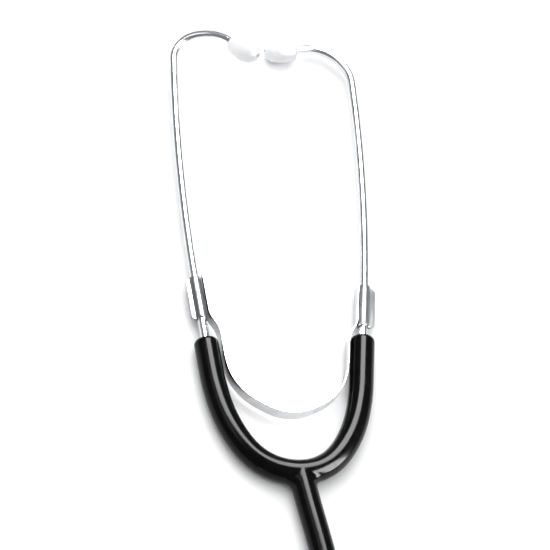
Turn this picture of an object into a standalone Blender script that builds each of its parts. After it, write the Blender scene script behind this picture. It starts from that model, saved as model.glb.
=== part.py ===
"""Stethoscope lying on a table: a sprung two-tube headset, Y-tubing, a hose and a dual-head chestpiece.

Units in this file are millimetres, scaled to metres when a mesh is made. X is left to right, +Y runs from the
Y-junction towards the ear tips, +Z is up, and the table is z = 0.
"""

import math

import bmesh
import bpy
from mathutils import Matrix, Vector

MM = 0.001

# Overall layout
AXIS_Z = 6.65  # height of every tube's centreline above the table
SIDES = {"left": -1.0, "right": 1.0}

# Y-tubing
TUBING_R = 6.65
LUMEN_R = 2.72
RIM_ROUND = 3.0
MOUTH_Y = {"left": -47.3, "right": -40.0}
FOOT = Vector((44.2, -39.0))  # a point on the right ear tube's lower axis
LEAN = math.radians(6.26)  # how far each lower ear tube leans outwards
CROTCH = Vector((0.8, -123.9))  # centreline at the bottom of the U
ARM_ROUTE = [
    (40.5, -72.0),
    (39.0, -80.0),
    (37.0, -88.0),
    (34.6, -95.0),
    (31.4, -102.0),
    (27.2, -109.0),
    (22.4, -114.8),
    (17.4, -118.9),
    (11.2, -122.0),
    (5.6, -123.4),
]
STEM_TOP = Vector((3.4, -124.0))
STEM_DIR = Vector((0.177, -0.984)).normalized()
STEM_LENGTH = 18.5
WEB_HALF_WIDTH = 16.0
WEB_LENGTH = 15.0

# Ear tubes
EAR_TUBE_R = 2.45
EAR_LUMEN_R = 1.75
EAR_BARB_R = 2.66
EAR_INSERTED = {"left": -25.5, "right": -19.0}  # lower end, measured along the axis from FOOT
EAR_STRAIGHT = 20.4
EAR_LONG_ARC_R = {"left": 1121.0, "right": 954.0}  # the tubes are hand bent, so they differ a little
EAR_LONG_ARC = {"left": 153.4, "right": 146.9}
EAR_BEND_R = {"left": 14.2, "right": 22.9}
EAR_BEND = {"left": math.radians(86.9), "right": math.radians(78.1)}
EAR_END_BEND_R = {"left": 25.6, "right": 21.0}
EAR_END_BEND = {"left": math.radians(43.2), "right": math.radians(18.4)}
EAR_END_STRAIGHT = {"left": 4.0, "right": 6.2}
EAR_TILT = {"left": math.radians(18.1), "right": math.radians(-4.0)}  # top bend against the headset's plane
EAR_TWIST = {"left": math.radians(6.6), "right": math.radians(3.8)}  # how each tube is turned at rest
EAR_IN_TIP = 9.0

# Ear tips
TIP_LENGTH = 18.5
TIP_SOCKET_R = 2.75
TIP_SOCKET = 9.4
TIP_HOLE_R = 1.3

# Leaf spring and its clips
SPRING_WIDTH = 8.0
SPRING_THICK = 0.9
SPRING_ROUTE = [
    (43.5, -8.0),
    (42.5, -17.0),
    (41.5, -26.0),
    (40.8, -32.4),
    (39.1, -35.6),
    (36.9, -38.8),
    (35.4, -43.2),
    (34.7, -50.0),
    (33.9, -57.5),
    (32.6, -64.6),
    (30.2, -71.2),
    (26.0, -77.4),
    (20.9, -82.0),
    (15.0, -85.7),
    (8.0, -88.9),
    (0.0, -90.2),
]
SPRING_PIVOT = Vector((0.0, -90.2, AXIS_Z))
CLIP_TOP = {"left": 29.6, "right": 31.2}  # along the ear tube's axis from FOOT
CLIP_LENGTH = 26.0
CLIP_BORE_R = 2.6
CLIP_WRAP_R = 3.25
CLIP_FLANGE = {"left": 5.2, "right": 6.1}  # reach of the pinched flange from the ear tube's axis
CLIP_FLANGE_THICK = 1.5
CLIP_CHAMFER = {"left": 1.6, "right": 2.4}

# Hose
HOSE_GAP = 0.3
HOSE_ROUTE = [
    (6.8, -142.4, AXIS_Z),
    (9.6, -157.0, AXIS_Z + 0.05),
    (12.2, -171.0, AXIS_Z + 0.1),
    (14.6, -186.0, AXIS_Z + 0.1),
    (16.5, -205.0, AXIS_Z + 0.1),
    (17.4, -230.0, AXIS_Z + 0.1),
    (17.6, -255.0, AXIS_Z + 0.1),
    (17.6, -278.0, AXIS_Z + 0.1),
    (17.2, -302.0, AXIS_Z + 0.1),
    (10.3, -326.8, AXIS_Z + 0.1),
    (-9.3, -346.4, AXIS_Z + 0.1),
    (-36.0, -353.6, AXIS_Z + 0.1),
    (-62.7, -346.4, AXIS_Z + 0.2),
    (-82.2, -326.8, AXIS_Z + 1.0),
    (-89.3, -304.0, AXIS_Z + 3.6),
    (-89.5, -289.0, AXIS_Z + 6.2),
    (-89.5, -276.0, AXIS_Z + 7.0),
]
HOSE_POINTS = 62

# Chestpiece
CHEST_CENTRE = Vector((-89.5, -231.0, 0.0))
STEM_AXIS_Z = 13.65
CHEST_STEM_R = 3.2
CHEST_BORE_R = 3.27
CHEST_SOUND_R = 1.3
DETENT_Y = -5.6  # detent's place along the chest stem, from the chestpiece's centre
DETENT_HOLE_R = 1.45
DETENT_BALL_R = 1.3

# Moves the layout so that the origin is under the middle of everything but the hose
TO_ORIGIN = Vector((28.919, 60.346, 0.0))

SIDES_TUBE = 12
SIDES_TUBING = 20
SIDES_TURNED = 36


def clear_scene():
    for obj in list(bpy.data.objects):
        bpy.data.objects.remove(obj, do_unlink=True)


def make_material(name, colour, roughness, metallic):
    material = bpy.data.materials.new(name)
    material.use_nodes = True
    shader = material.node_tree.nodes["Principled BSDF"]
    shader.inputs["Base Color"].default_value = (*colour, 1.0)
    shader.inputs["Roughness"].default_value = roughness
    shader.inputs["Metallic"].default_value = metallic
    return material


def object_from(name, points, faces, material, location=(0, 0, 0), rotation=None):
    """An object from points in millimetres, with its normals turned outwards."""
    mesh = bpy.data.meshes.new(name)
    mesh.from_pydata([tuple(value * MM for value in point) for point in points], [], faces)
    shape = bmesh.new()
    shape.from_mesh(mesh)
    bmesh.ops.remove_doubles(shape, verts=shape.verts, dist=1e-6)
    bmesh.ops.recalc_face_normals(shape, faces=shape.faces)
    shape.to_mesh(mesh)
    shape.free()
    obj = bpy.data.objects.new(name, mesh)
    bpy.context.collection.objects.link(obj)
    obj.location = Vector(location) * MM
    if rotation is not None:
        obj.rotation_euler = rotation.to_euler()
    if material is not None:
        mesh.materials.append(material)
    return obj


def ring_faces(rows, sides, first=0, closed_rows=False):
    """Quads between consecutive rings of points, each ring `sides` points round."""
    faces = []
    last = rows if closed_rows else rows - 1
    for row in range(last):
        here = first + row * sides
        there = first + ((row + 1) % rows) * sides
        for side in range(sides):
            after = (side + 1) % sides
            faces.append((here + side, here + after, there + after, there + side))
    return faces


def frames_along(path):
    """(point, side, up) at each point of the path, carried along it without twisting."""
    path = [Vector(point) for point in path]
    tangents = []
    for index in range(len(path)):
        before = path[max(index - 1, 0)]
        after = path[min(index + 1, len(path) - 1)]
        tangents.append((after - before).normalized())
    up = Vector((0, 0, 1))
    if abs(tangents[0].dot(up)) > 0.9:
        up = Vector((1, 0, 0))
    frames = []
    for point, tangent in zip(path, tangents):
        up = (up - tangent * up.dot(tangent)).normalized()
        frames.append((point, tangent.cross(up).normalized(), up))
    return frames


def swept(path, section_at):
    """Points and faces of a capped solid: section_at(index) gives (across, up) offsets of one section."""
    points = []
    count = 0
    for index, (centre, across, up) in enumerate(frames_along(path)):
        section = section_at(index)
        count = len(section)
        points += [centre + across * x + up * y for x, y in section]
    rows = len(points) // count
    faces = ring_faces(rows, count)
    faces.append(tuple(range(count)))
    faces.append(tuple(range((rows - 1) * count, rows * count)))
    return points, faces


def circle(radius, sides, turn=0.0):
    angles = [turn + 2 * math.pi * side / sides for side in range(sides)]
    return [(radius * math.cos(angle), radius * math.sin(angle)) for angle in angles]


def hollow_sweep(path, outer, inner, sides):
    """A tube with a lumen: outer is a radius for each point of the path, inner is one radius."""
    frames = frames_along(path)
    points = []
    for (centre, across, up), radius in zip(frames, outer):
        points += [centre + across * x + up * y for x, y in circle(radius, sides)]
    for centre, across, up in reversed(frames):
        points += [centre + across * x + up * y for x, y in circle(inner, sides)]
    return points, ring_faces(2 * len(path), sides, closed_rows=True)


def turned(profile, sides=SIDES_TURNED):
    """A ring-shaped solid from a closed profile of (radius, height), turned about Z."""
    points = []
    for radius, height in profile:
        points += [Vector((x, y, height)) for x, y in circle(radius, sides)]
    return points, ring_faces(len(profile), sides, closed_rows=True)


def turned_solid(profile, sides=SIDES_TURNED):
    """A solid turned about Z from an open profile, with a flat cap at each end."""
    points = []
    for radius, height in profile:
        points += [Vector((x, y, height)) for x, y in circle(radius, sides)]
    faces = ring_faces(len(profile), sides)
    faces.append(tuple(range(sides)))
    faces.append(tuple(range((len(profile) - 1) * sides, len(profile) * sides)))
    return points, faces


def smooth_path(route, steps):
    """Points of a Catmull-Rom curve through the route, `steps` to each stretch."""
    route = [Vector(point) for point in route]
    padded = [2 * route[0] - route[1], *route, 2 * route[-1] - route[-2]]
    path = []
    for index in range(1, len(padded) - 2):
        p0, p1, p2, p3 = padded[index - 1 : index + 3]
        for step in range(steps):
            t = step / steps
            path.append(
                0.5
                * (
                    2 * p1
                    + (p2 - p0) * t
                    + (2 * p0 - 5 * p1 + 4 * p2 - p3) * t * t
                    + (3 * p1 - 3 * p2 + p3 - p0) * t * t * t
                )
            )
    path.append(route[-1])
    return path


def even_path(path, count):
    """The same path as `count` points spaced evenly along it."""
    lengths = [0.0]
    for before, after in zip(path, path[1:]):
        lengths.append(lengths[-1] + (after - before).length)
    spaced = []
    place = 0
    for index in range(count):
        wanted = lengths[-1] * index / (count - 1)
        while place < len(path) - 2 and lengths[place + 1] < wanted:
            place += 1
        span = lengths[place + 1] - lengths[place]
        share = (wanted - lengths[place]) / span
        spaced.append(path[place].lerp(path[place + 1], min(max(share, 0.0), 1.0)))
    return spaced


def boolean(obj, other, operation):
    """Joins or cuts with another object, then removes that object."""
    modifier = obj.modifiers.new(operation.lower(), "BOOLEAN")
    modifier.operation = operation
    modifier.solver = "EXACT"
    modifier.object = other
    graph = bpy.context.evaluated_depsgraph_get()
    mesh = bpy.data.meshes.new_from_object(obj.evaluated_get(graph))
    obj.modifiers.clear()
    old = obj.data
    obj.data = mesh
    bpy.data.meshes.remove(old)
    bpy.data.objects.remove(other, do_unlink=True)


def axis_point(side, along):
    """A point on an ear tube's lower axis, `along` millimetres up from its foot."""
    x = FOOT.x + math.sin(LEAN) * along
    y = FOOT.y + math.cos(LEAN) * along
    return Vector((SIDES[side] * x, y, AXIS_Z))


def mouth_along(side):
    return (MOUTH_Y[side] - FOOT.y) / math.cos(LEAN)


def arm_path(side):
    """Centreline of one tubing arm, from its mouth to the bottom of the U."""
    sign = SIDES[side]
    straight = [axis_point(side, mouth_along(side)), axis_point(side, -16.0), axis_point(side, -25.0)]
    share = [(index + 1) / len(ARM_ROUTE) for index in range(len(ARM_ROUTE))]
    curved = [Vector((sign * x + CROTCH.x * s, y, AXIS_Z)) for (x, y), s in zip(ARM_ROUTE, share)]
    return straight + curved


def tubing_route():
    bottom = Vector((CROTCH.x, CROTCH.y, AXIS_Z))
    return arm_path("left") + [bottom] + arm_path("right")[::-1]


def rounded_ends(path, radius, rounding):
    """The path with extra points near both ends, and the radius at each point that rounds the rims."""
    steps = 4
    start = []
    for index in range(steps):
        angle = math.pi / 2 * index / steps
        start.append((rounding * (1 - math.cos(angle)), radius - rounding + rounding * math.sin(angle)))
    start.append((rounding, radius))
    first_dir = (path[1] - path[0]).normalized()
    last_dir = (path[-2] - path[-1]).normalized()
    points = [path[0] + first_dir * along for along, _ in start]
    radii = [size for _, size in start]
    for point in path[1:-1]:
        if (point - path[0]).length > 1.6 * rounding and (point - path[-1]).length > 1.6 * rounding:
            points.append(point)
            radii.append(radius)
    points += [path[-1] + last_dir * along for along, _ in reversed(start)]
    radii += [size for _, size in reversed(start)]
    return points, radii


def make_y_tubing(material):
    """Two arms in a U and a short stem, moulded as one piece round a branching lumen."""
    path = even_path(smooth_path(tubing_route(), 6), 44)
    points, radii = rounded_ends(path, TUBING_R, RIM_ROUND)
    body = object_from(
        "y_tubing", *swept(points, lambda index: circle(radii[index], SIDES_TUBING)), material
    )
    top = Vector((STEM_TOP.x, STEM_TOP.y, AXIS_Z))
    along = Vector((STEM_DIR.x, STEM_DIR.y, 0.0))
    stem_path = [top + along * (STEM_LENGTH * step / 6) for step in range(7)]
    stem = object_from("stem", *swept(stem_path, lambda index: circle(TUBING_R, SIDES_TUBING)), None)
    boolean(body, stem, "UNION")

    web_steps = 8
    web_path = [top + along * (1.5 + WEB_LENGTH * step / web_steps) for step in range(web_steps + 1)]

    def web_section(index):
        share = 1 - index / web_steps
        half = TUBING_R - 0.35 + (WEB_HALF_WIDTH - TUBING_R) * share * share
        thick = TUBING_R - 0.5
        return [(half * x, thick * y) for x, y in circle(1.0, SIDES_TUBING, turn=0.1)]

    web = object_from("web", *swept(web_path, web_section), None)
    boolean(body, web, "UNION")

    lead_left = (path[0] - path[1]).normalized() * 5
    lead_right = (path[-1] - path[-2]).normalized() * 5
    lumen_path = [path[0] + lead_left, *path, path[-1] + lead_right]
    lumen = object_from("lumen", *swept(lumen_path, lambda index: circle(LUMEN_R, SIDES_TUBE)), None)
    boolean(body, lumen, "DIFFERENCE")
    drop_path = [top, top + along * STEM_LENGTH / 2, top + along * (STEM_LENGTH + 5)]
    drop_round = circle(LUMEN_R - 0.2, SIDES_TUBE, 0.2)
    drop = object_from("drop", *swept(drop_path, lambda index: drop_round), None)
    boolean(body, drop, "DIFFERENCE")
    return body


def ear_tube_centreline(side):
    """Local centreline: origin at the foot, +Y up the lower axis, bending inwards. Ends at the tube's end."""
    sign = SIDES[side]
    direction = Vector((0, 1, 0))
    point = Vector((0, EAR_INSERTED[side], 0))
    path = [(point.copy(), direction.copy())]
    point = Vector((0, EAR_STRAIGHT, 0))
    path.append((point.copy(), direction.copy()))

    def arc(radius, angle, axis, steps):
        nonlocal point, direction
        turn = angle / steps
        for _ in range(steps):
            half = Matrix.Rotation(turn / 2, 3, axis)
            point = point + (half @ direction) * (2 * radius * math.sin(turn / 2))
            direction = Matrix.Rotation(turn, 3, axis) @ direction
            path.append((point.copy(), direction.copy()))

    inward = Vector((0, 0, sign))
    arc(EAR_LONG_ARC_R[side], EAR_LONG_ARC[side] / EAR_LONG_ARC_R[side], inward, 10)
    tilted = Matrix.Rotation(sign * EAR_TILT[side], 3, direction) @ inward
    arc(EAR_BEND_R[side], EAR_BEND[side], tilted, 11)
    arc(EAR_END_BEND_R[side], EAR_END_BEND[side], tilted, 6)
    point = point + direction * (EAR_END_STRAIGHT[side] + EAR_IN_TIP)
    path.append((point.copy(), direction.copy()))
    return path


def side_rotation(side):
    """Turns local +Y onto the ear tube's leaning axis."""
    return Matrix.Rotation(-SIDES[side] * LEAN, 3, "Z")


def rest_rotation(side):
    return side_rotation(side) @ Matrix.Rotation(SIDES[side] * EAR_TWIST[side], 3, "Y")


def make_ear_tube(side, material):
    centreline = [point for point, _ in ear_tube_centreline(side)]
    foot = centreline[0]
    barbs = [(0.0, EAR_TUBE_R), (1.2, EAR_BARB_R), (3.2, EAR_TUBE_R), (4.4, EAR_BARB_R), (6.4, EAR_TUBE_R)]
    path = [foot + Vector((0, along, 0)) for along, _ in barbs] + centreline[1:]
    radii = [radius for _, radius in barbs] + [EAR_TUBE_R] * (len(centreline) - 1)
    return object_from(
        f"ear_tube_{side}",
        *hollow_sweep(path, radii, EAR_LUMEN_R, SIDES_TUBE),
        material,
        axis_point(side, 0),
        rest_rotation(side),
    )


def make_ear_tip(side, material, tube):
    """A soft olive with a socket for the tube and a small hole at its nose. It turns with its tube."""
    profile = [
        (TIP_SOCKET_R, 0.0),
        (5.3, 0.0),
        (5.9, 0.6),
        (6.5, 2.8),
        (6.95, 6.0),
        (7.1, 9.0),
        (6.85, 12.2),
        (5.9, 15.2),
        (4.2, 17.2),
        (2.7, 18.2),
        (1.8, TIP_LENGTH),
        (TIP_HOLE_R, TIP_LENGTH - 0.4),
        (TIP_HOLE_R, TIP_SOCKET + 0.6),
        (TIP_SOCKET_R, TIP_SOCKET),
    ]
    end, direction = ear_tube_centreline(side)[-1]
    mouth = end - direction * EAR_IN_TIP
    aim = direction.to_track_quat("Z", "Y").to_matrix()
    points, faces = turned(profile, 20)
    placed = [mouth + aim @ point for point in points]
    tip = object_from(f"ear_tip_{side}", placed, faces, material)
    tip.parent = tube
    return tip


def spring_half(sign):
    return [Vector((sign * x, y, AXIS_Z)) for x, y in SPRING_ROUTE]


def make_leaf_spring(material):
    """A flat strip standing on edge, bent to a U. Its ends lie along the inner sides of the ear tubes."""
    route = spring_half(-1.0) + spring_half(1.0)[-2::-1]
    path = even_path(smooth_path(route, 4), 58)
    half_thick = SPRING_THICK / 2
    half_wide = SPRING_WIDTH / 2
    edge = 0.3

    def section(index):
        return [
            (-half_thick, -half_wide + edge),
            (-half_thick + 0.25, -half_wide),
            (half_thick - 0.25, -half_wide),
            (half_thick, -half_wide + edge),
            (half_thick, half_wide - edge),
            (half_thick - 0.25, half_wide),
            (-half_thick + 0.25, half_wide),
            (-half_thick, half_wide - edge),
        ]

    strip = object_from("leaf_spring", *swept(path, section), material, SPRING_PIVOT)
    for vertex in strip.data.vertices:
        vertex.co -= SPRING_PIVOT * MM
    return strip


def make_spring_clip(side, material):
    """A folded clip: a wrap round the ear tube whose two ends are pinched into a flange on the outer side."""
    sign = SIDES[side]
    centre = Vector((0.0, CLIP_TOP[side] - CLIP_LENGTH / 2, 0.0))
    half = CLIP_LENGTH / 2
    rings = [(-half, CLIP_WRAP_R), (half, CLIP_WRAP_R)]
    wrap_path = [centre + Vector((0, along, 0)) for along, _ in rings]
    points, faces = swept(wrap_path, lambda index: circle(CLIP_WRAP_R, 24))
    body = object_from(f"spring_clip_{side}", points, faces, material)

    reach = sign * CLIP_FLANGE[side]
    chamfer = CLIP_CHAMFER[side]
    root = sign * (CLIP_BORE_R + 0.2)
    outline = [
        (root, -half + 0.01),
        (reach - sign * chamfer, -half + 0.01),
        (reach, -half + chamfer),
        (reach, half - chamfer),
        (reach - sign * chamfer, half - 0.01),
        (root, half - 0.01),
    ]
    thick = CLIP_FLANGE_THICK / 2
    flange_points = [Vector((x, centre.y + y, z)) for z in (-thick, thick) for x, y in outline]
    count = len(outline)
    flange_faces = [tuple(range(count)), tuple(range(count, 2 * count))]
    flange_faces += ring_faces(2, count)
    flange = object_from("flange", flange_points, flange_faces, None)
    boolean(body, flange, "UNION")

    bore_path = [centre + Vector((0, -half - 4, 0)), centre + Vector((0, half + 4, 0))]
    bore = object_from("bore", *swept(bore_path, lambda index: circle(CLIP_BORE_R, 24)), None)
    boolean(body, bore, "DIFFERENCE")

    place = Matrix.Translation(axis_point(side, 0) * MM) @ side_rotation(side).to_4x4()
    pivot = Matrix.Translation(-SPRING_PIVOT * MM)
    body.data.transform(pivot @ place)
    body.location = SPRING_PIVOT * MM
    return body


def make_hose(material):
    """The single tube from the junction to the chestpiece, lying on the table in one open hook."""
    path = even_path(smooth_path(HOSE_ROUTE, 8), HOSE_POINTS)
    path[0] = path[0] + (path[1] - path[0]).normalized() * HOSE_GAP
    curve = bpy.data.curves.new("hose", "CURVE")
    curve.dimensions = "3D"
    curve.bevel_depth = TUBING_R * MM
    curve.bevel_resolution = 4
    curve.use_fill_caps = True
    spline = curve.splines.new("POLY")
    spline.points.add(len(path) - 1)
    for point, place in zip(spline.points, path):
        point.co = (*(place * MM), 1.0)
    curve.materials.append(material)
    hose = bpy.data.objects.new("hose", curve)
    bpy.context.collection.objects.link(hose)
    return hose


def rod(name, start, direction, profile, material=None, sides=20):
    """A round solid on an axis: profile is (radius, distance along)."""
    points, faces = turned_solid(profile, sides)
    aim = Vector(direction).to_track_quat("Z", "Y").to_matrix()
    return object_from(name, [Vector(start) + aim @ point for point in points], faces, material)


def make_chest_head(material):
    """One casting: a wide cup below, a bell above, and a neck between them that turns on the stem."""
    outside = [
        (19.6, 1.5),
        (19.6, 4.6),
        (21.6, 4.9),
        (21.9, 5.6),
        (21.4, 6.9),
        (17.5, 8.2),
        (11.6, 8.9),
        (10.4, 10.0),
        (10.2, 13.7),
        (10.4, 16.9),
        (11.6, 18.0),
        (13.8, 19.4),
        (15.2, 21.8),
        (15.7, 25.2),
    ]
    body = object_from("chest_head", *turned_solid(outside), material)
    cup_shape = [(18.4, 0.0), (18.4, 4.9), (16.0, 5.8), (2.0, 7.4)]
    bell_shape = [(14.6, 0.0), (14.6, 5.5), (12.4, 8.2), (6.0, 10.4), (2.0, 11.2)]
    channel_shape = [(CHEST_SOUND_R, 0.0), (CHEST_SOUND_R, 20.0)]
    bore_shape = [(CHEST_BORE_R, 0.0), (CHEST_BORE_R, 24.6)]
    detent_shape = [(DETENT_HOLE_R, 0.0), (DETENT_HOLE_R, 14.0)]
    stem_side = (0, -20.0, STEM_AXIS_Z)
    detent_side = (1.0, DETENT_Y, STEM_AXIS_Z)
    boolean(body, rod("cup", (0, 0, -3.0), (0, 0, 1), cup_shape, sides=SIDES_TURNED), "DIFFERENCE")
    boolean(body, rod("bell", (0, 0, 29.6), (0, 0, -1), bell_shape, sides=SIDES_TURNED), "DIFFERENCE")
    boolean(body, rod("channel", (0, 0, 1.0), (0, 0, 1), channel_shape, sides=12), "DIFFERENCE")
    boolean(body, rod("bore", stem_side, (0, 1, 0), bore_shape, sides=24), "DIFFERENCE")
    boolean(body, rod("detent", detent_side, (1, 0, 0), detent_shape, sides=16), "DIFFERENCE")
    return body


def make_chest_stem(material):
    """The steel stem the head turns on, with a groove for the detent and a side port to the sound channel."""
    groove = DETENT_Y
    profile = [
        (CHEST_STEM_R - 0.4, 4.2),
        (CHEST_STEM_R, 3.8),
        (CHEST_STEM_R, groove + 1.3),
        (CHEST_STEM_R - 0.75, groove + 0.5),
        (CHEST_STEM_R - 0.75, groove - 0.5),
        (CHEST_STEM_R, groove - 1.3),
        (CHEST_STEM_R, -11.5),
        (4.1, -11.7),
        (4.5, -12.2),
        (4.5, -14.0),
        (4.1, -14.5),
        (3.5, -14.9),
        (3.3, -20.0),
        (3.3, -33.5),
        (4.0, -34.1),
        (4.9, -34.5),
        (4.9, -44.1),
        (4.5, -44.6),
    ]
    turned_profile = [(radius, -along) for radius, along in profile]
    body = rod("chest_stem", (0, 0, STEM_AXIS_Z), (0, -1, 0), turned_profile, material, 24)
    lumen_shape = [(CHEST_SOUND_R, 0.0), (CHEST_SOUND_R, 62.6)]
    port_shape = [(CHEST_SOUND_R, 0.0), (CHEST_SOUND_R, 8.0)]
    boolean(body, rod("lumen", (0, -60.0, STEM_AXIS_Z), (0, 1, 0), lumen_shape, sides=12), "DIFFERENCE")
    boolean(body, rod("port", (0, 0, STEM_AXIS_Z - 0.2), (0, 0, -1), port_shape, sides=12), "DIFFERENCE")
    return body


def make_detent_spring(material):
    """A short compression spring, held as one coiled wire in the detent hole."""
    radius = 0.95
    wire = 0.16
    turns = 4
    start = Vector((5.15, DETENT_Y, STEM_AXIS_Z))
    length = 2.4
    steps = turns * 10
    path = []
    for step in range(steps + 1):
        angle = 2 * math.pi * step / 10
        along = length * step / steps
        path.append(start + Vector((along, radius * math.cos(angle), radius * math.sin(angle))))
    points, faces = swept(path, lambda index: circle(wire, 6))
    return object_from("detent_spring", points, faces, material)


def make_detent_ball(material):
    mesh = bpy.data.meshes.new("detent_ball")
    shape = bmesh.new()
    bmesh.ops.create_uvsphere(shape, u_segments=14, v_segments=8, radius=DETENT_BALL_R * MM)
    shape.to_mesh(mesh)
    shape.free()
    ball = bpy.data.objects.new("detent_ball", mesh)
    bpy.context.collection.objects.link(ball)
    ball.location = Vector((CHEST_STEM_R - 0.75 + 0.12 + DETENT_BALL_R, DETENT_Y, STEM_AXIS_Z)) * MM
    mesh.materials.append(material)
    return ball


def make_chestpiece(materials):
    """The head, its rims, diaphragm and detent turn together about the stem's axis."""
    hub = bpy.data.objects.new("chest_turn", None)
    bpy.context.collection.objects.link(hub)
    hub.location = (CHEST_CENTRE + Vector((0, 0, STEM_AXIS_Z))) * MM
    head = make_chest_head(materials["chest"])
    ring_profile = [
        (17.0, 0.0),
        (21.2, 0.0),
        (22.4, 0.5),
        (22.9, 1.5),
        (22.7, 3.6),
        (22.2, 4.2),
        (19.95, 4.2),
        (19.95, 0.6),
        (17.0, 0.4),
    ]
    ring = object_from("diaphragm_ring", *turned(ring_profile), materials["rim"])
    disc = [(19.3, 0.0), (19.3, 0.36)]
    diaphragm = rod("diaphragm", (0, 0, 0.86), (0, 0, 1), disc, materials["membrane"], SIDES_TURNED)
    bell_profile = [
        (14.3, 25.5),
        (13.6, 25.9),
        (14.2, 26.8),
        (15.6, 27.1),
        (16.9, 26.8),
        (17.5, 25.6),
        (17.4, 23.3),
        (16.0, 22.9),
        (16.0, 25.5),
    ]
    bell_ring = object_from("bell_ring", *turned(bell_profile), materials["rim"])
    ball = make_detent_ball(materials["steel"])
    spring = make_detent_spring(materials["steel"])
    screw = rod(
        "detent_screw",
        (7.85, DETENT_Y, STEM_AXIS_Z),
        (1, 0, 0),
        [(1.2, 0.0), (1.36, 0.2), (1.36, 0.55), (1.2, 0.75)],
        materials["steel"],
        16,
    )
    for piece in (head, ring, diaphragm, bell_ring, ball, spring, screw):
        piece.parent = hub
        piece.matrix_parent_inverse = Matrix.Translation(Vector((0, 0, -STEM_AXIS_Z)) * MM)
    stem = make_chest_stem(materials["chest"])
    stem.location = CHEST_CENTRE * MM


def main():
    clear_scene()
    chrome = make_material("chrome", (0.78, 0.79, 0.81), 0.12, 1.0)
    spring_chrome = make_material("spring_chrome", (0.74, 0.75, 0.77), 0.2, 1.0)
    black = make_material("black_tubing", (0.012, 0.012, 0.013), 0.22, 0.0)
    white = make_material("tip_plastic", (0.93, 0.93, 0.92), 0.35, 0.0)
    chest = {
        "chest": make_material("chest_chrome", (0.76, 0.77, 0.79), 0.16, 1.0),
        "rim": make_material("rim_plastic", (0.02, 0.02, 0.022), 0.4, 0.0),
        "membrane": make_material("membrane", (0.8, 0.81, 0.82), 0.3, 0.0),
        "steel": make_material("steel", (0.55, 0.56, 0.58), 0.3, 1.0),
    }
    make_y_tubing(black)
    make_leaf_spring(spring_chrome)
    for side in SIDES:
        tube = make_ear_tube(side, chrome)
        make_ear_tip(side, white, tube)
        make_spring_clip(side, spring_chrome)
    make_hose(black)
    make_chestpiece(chest)
    for obj in bpy.data.objects:
        if obj.parent is None:
            obj.location += TO_ORIGIN * MM


main()
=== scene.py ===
"""Looks of a stethoscope lying on a white table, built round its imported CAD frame.

Sizes and places are in millimetres in the part's own layout and are moved to the row frame, in metres, by
to_frame(). X is left to right, +Y runs from the Y-junction to the ear tips, +Z is up.
"""

import math

import bmesh
import bpy
import numpy as np
from mathutils import Matrix, Vector


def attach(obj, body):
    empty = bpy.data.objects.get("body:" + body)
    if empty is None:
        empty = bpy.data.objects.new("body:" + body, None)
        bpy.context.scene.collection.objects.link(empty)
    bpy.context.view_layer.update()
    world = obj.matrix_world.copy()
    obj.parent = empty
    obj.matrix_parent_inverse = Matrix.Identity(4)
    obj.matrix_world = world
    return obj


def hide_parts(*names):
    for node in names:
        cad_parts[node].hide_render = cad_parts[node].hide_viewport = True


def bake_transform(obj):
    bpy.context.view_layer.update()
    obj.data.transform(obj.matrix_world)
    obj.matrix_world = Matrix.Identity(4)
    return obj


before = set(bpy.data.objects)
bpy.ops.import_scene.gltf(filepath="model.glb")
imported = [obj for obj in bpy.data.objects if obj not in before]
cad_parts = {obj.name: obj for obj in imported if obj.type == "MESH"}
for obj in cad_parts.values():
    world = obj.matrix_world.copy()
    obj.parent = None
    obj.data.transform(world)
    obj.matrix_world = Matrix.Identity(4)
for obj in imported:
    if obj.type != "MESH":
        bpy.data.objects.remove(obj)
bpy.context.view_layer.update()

MM = 0.001
TO_ORIGIN = Vector((28.919, 60.346, 0.0))
AXIS_Z = 6.65
SIDES = {"left": -1.0, "right": 1.0}

# Camera, above the part's lower left and looking down on it
CAMERA_AZIMUTH = math.radians(-23.955)
CAMERA_ELEVATION = math.radians(55.7)
CAMERA_ROLL = math.radians(24.02)
CAMERA_DISTANCE = 1500.0
CAMERA_AIM = (-2.07, -3.06)  # picture right and picture up from the layout's origin, at the tubing's axis
CAMERA_LENS = 180.2
LIGHT_AIM = (0.0, -40.0, 0.0)
TABLE_HALF = 6.0  # metres

# Y-tubing
TUBING_R = 6.65
RIM_ROUND = 3.0
MOUTH_Y = {"left": -47.3, "right": -40.0}
MOUTH_BORE_R = 2.62
MOUTH_BORE = 7.0
MOUTH_BORE_STEPS = 4
RIM_STEPS = 8
ARM_SIDES = 56
CENTRELINE_POINTS = 241
FOOT = Vector((44.2, -39.0, AXIS_Z))
LEAN = math.radians(6.26)
CROTCH = Vector((0.8, -123.9, AXIS_Z))
ARM_ROUTE = [
    (40.5, -72.0),
    (39.0, -80.0),
    (37.0, -88.0),
    (34.6, -95.0),
    (31.4, -102.0),
    (27.2, -109.0),
    (22.4, -114.8),
    (17.4, -118.9),
    (11.2, -122.0),
    (5.6, -123.4),
]
STEM_TOP = Vector((3.4, -124.0, AXIS_Z))
STEM_DIR = Vector((0.177, -0.984, 0.0)).normalized()
STEM_LENGTH = 18.8
JUNCTION_HALF = 19.0  # how far along each arm the junction's own piece reaches
FILLET = 4.5
FILLET_RUN = 5.0  # how far below the arms' centreline the fillets reach their full size
JUNCTION_SIDES = 40
JUNCTION_SPARE = 8  # centreline points past each end, cut off again
STEM_SPARE = 6.0  # length past the stem's end, cut off again
JUNCTION_GRAIN = 0.6  # size of the junction's mesh
SETTLE_ROUNDS = 5  # moves of the mesh onto the filleted surface
SLOPE_STEP = 0.02

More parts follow.
